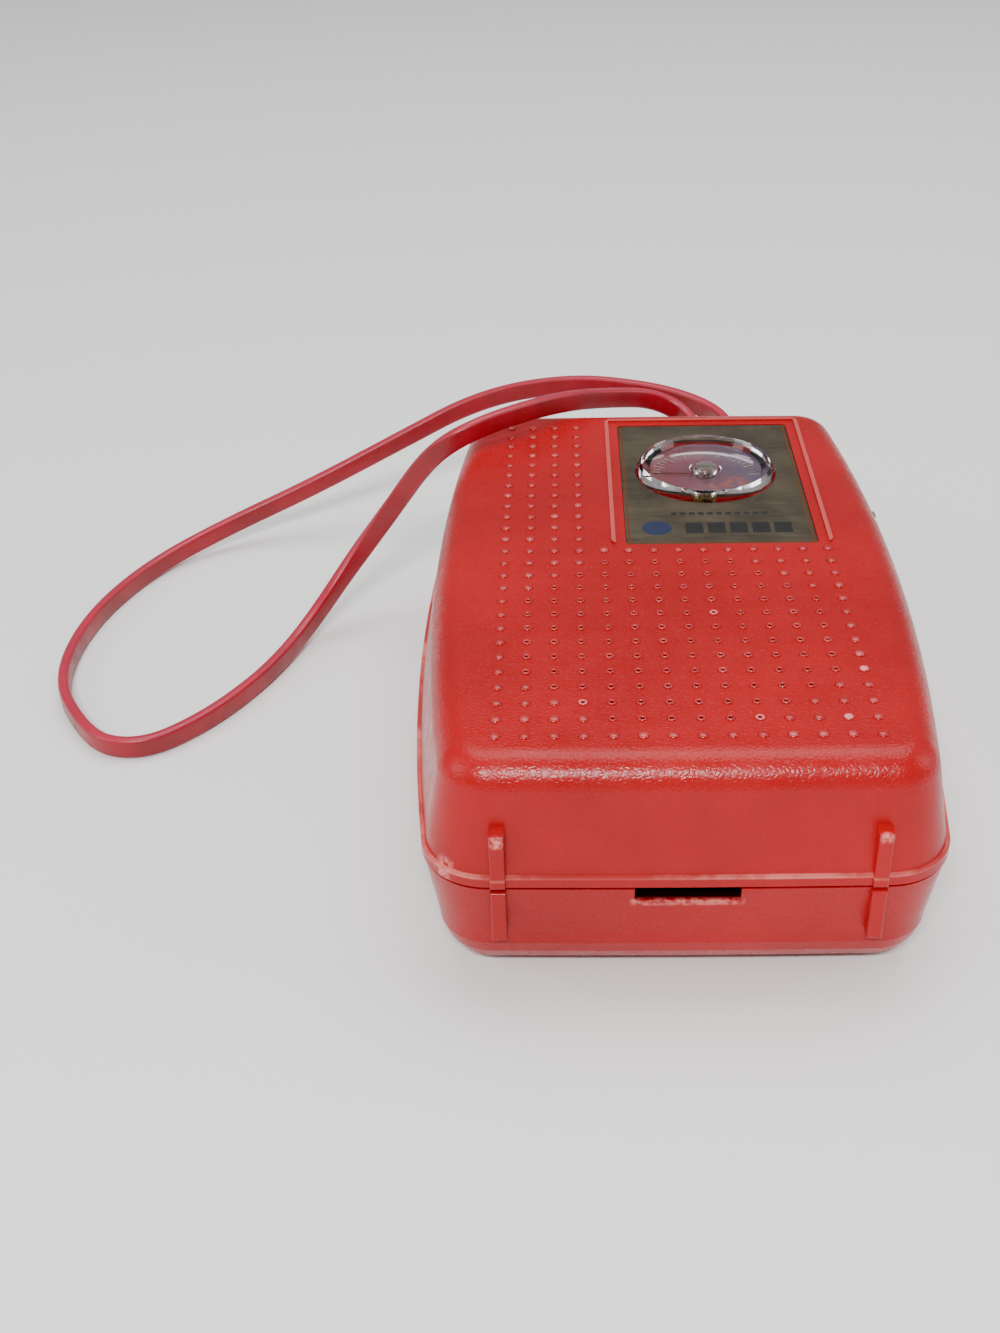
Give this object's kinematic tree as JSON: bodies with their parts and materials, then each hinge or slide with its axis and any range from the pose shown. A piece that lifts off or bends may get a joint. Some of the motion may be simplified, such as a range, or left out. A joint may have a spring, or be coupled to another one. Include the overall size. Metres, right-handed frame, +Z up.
{
  "type": "pocket transistor radio",
  "caption": "Pocket radio in a bowed two-part moulded case, with a clear tuning knob over a printed dial, a dotted sound grille, a volume wheel and a vinyl wrist strap.",
  "frame": {"origin": "bottom centre of the case lying on its back, without the free strap", "axes": "+X to the right facing the dial, +Y from the foot ribs to the strap end, +Z up through the front face"},
  "size_m": [0.1289, 0.1295, 0.0393],
  "materials": {
    "red_case_plastic": "glossy moulded polystyrene with a leather grain",
    "bronze_plate": "satin dark bronze lacquer on sheet metal",
    "dial_print": "printed card",
    "clear_acrylic": "polished clear acrylic",
    "red_pointer_paint": "red paint",
    "nickel_plated_steel": "nickel plate",
    "brass": "turned",
    "milky_plastic": "translucent moulded plastic",
    "black_plastic": "moulded",
    "zinc_plated_steel": "zinc plated sheet",
    "ferrite": "sintered ferrite, dark grey",
    "copper_wire": "enamelled copper wire",
    "cone_paper": "pressed paper",
    "black_cloth": "thin woven cloth",
    "phenolic_board": "brown phenolic laminate",
    "tinned_can": "tin plated",
    "transformer_iron": "varnished laminations",
    "sleeved_can": "shrunk plastic sleeve",
    "resistor_body": "lacquered body",
    "ceramic_dip": "dipped ceramic",
    "battery_jacket": "lithographed steel jacket",
    "pressboard": "pressed board",
    "grey_foam": "soft foam",
    "strap_vinyl": "soft glossy vinyl",
    "lead_pvc": "PVC insulated wire"
  },
  "bodies": {
    "radio": {"antenna_coil": "copper_wire", "antenna_leads": "lead_pvc", "battery": "battery_jacket", "battery_divider": "pressboard", "battery_leads": "lead_pvc", "battery_snap": "black_plastic", "battery_terminals": "nickel_plated_steel", "board_screws": "nickel_plated_steel", "ceramic_capacitors": "ceramic_dip", "circuit_board": "phenolic_board", "coil_can_1": "tinned_can", "coil_can_2": "tinned_can", "coil_can_3": "tinned_can", "coil_can_4": "tinned_can", "detector_diode": "ceramic_dip", "dial_card": "dial_print", "driver_transformer": "transformer_iron", "earphone_jack": "black_plastic", "electrolytic_1": "sleeved_can", "electrolytic_2": "sleeved_can", "electrolytic_3": "sleeved_can", "faceplate": "bronze_plate", "ferrite_rod": "ferrite", "front_case": "red_case_plastic", "grille_cloth": "black_cloth", "jack_nut": "nickel_plated_steel", "output_transformer": "transformer_iron", "resistors": "resistor_body", "rod_clip_left": "milky_plastic", "rod_clip_right": "milky_plastic", "speaker_basket": "zinc_plated_steel", "speaker_clips": "zinc_plated_steel", "speaker_gasket": "cone_paper", "speaker_leads": "lead_pvc", "speaker_magnet": "ferrite", "speaker_screws": "nickel_plated_steel", "speaker_top_plate": "zinc_plated_steel", "speaker_yoke": "zinc_plated_steel", "strap_anchor": "nickel_plated_steel", "transistors": "tinned_can", "tuning_capacitor": "milky_plastic", "volume_pot": "black_plastic", "wrist_strap": "strap_vinyl"},
    "back_cover": {"back_case": "red_case_plastic", "foam_pad": "grey_foam"},
    "tuning_dial": {"tuning_knob": "clear_acrylic", "knob_pointer": "red_pointer_paint", "hub_screw": "nickel_plated_steel", "tuning_shaft": "brass"},
    "volume_control": {"volume_wheel": "black_plastic", "volume_shaft": "nickel_plated_steel"},
    "speaker_moving": {"speaker_cone": "cone_paper", "dust_cap": "cone_paper", "voice_coil": "copper_wire"}
  },
  "joints": [
    {"name": "back_cover_slide", "type": "slide", "parent": "radio", "child": "back_cover", "axis": [0, 0, -1], "range_m": [0, 0.045]},
    {"name": "tuning_turn", "type": "hinge", "parent": "radio", "child": "tuning_dial", "pos_m": [0.0073, 0.026, 0.03], "axis": [0, 0, 1], "range_deg": [-180, 0]},
    {"name": "volume_turn", "type": "hinge", "parent": "radio", "child": "volume_control", "pos_m": [0.018, 0.043, 0.0198], "axis": [0, 0, 1], "range_deg": [0, 280]},
    {"name": "cone_travel", "type": "slide", "parent": "radio", "child": "speaker_moving", "axis": [0, 0, 1], "range_m": [-0.0003, 0.0003], "stiffness_N_per_m": 900}
  ]
}
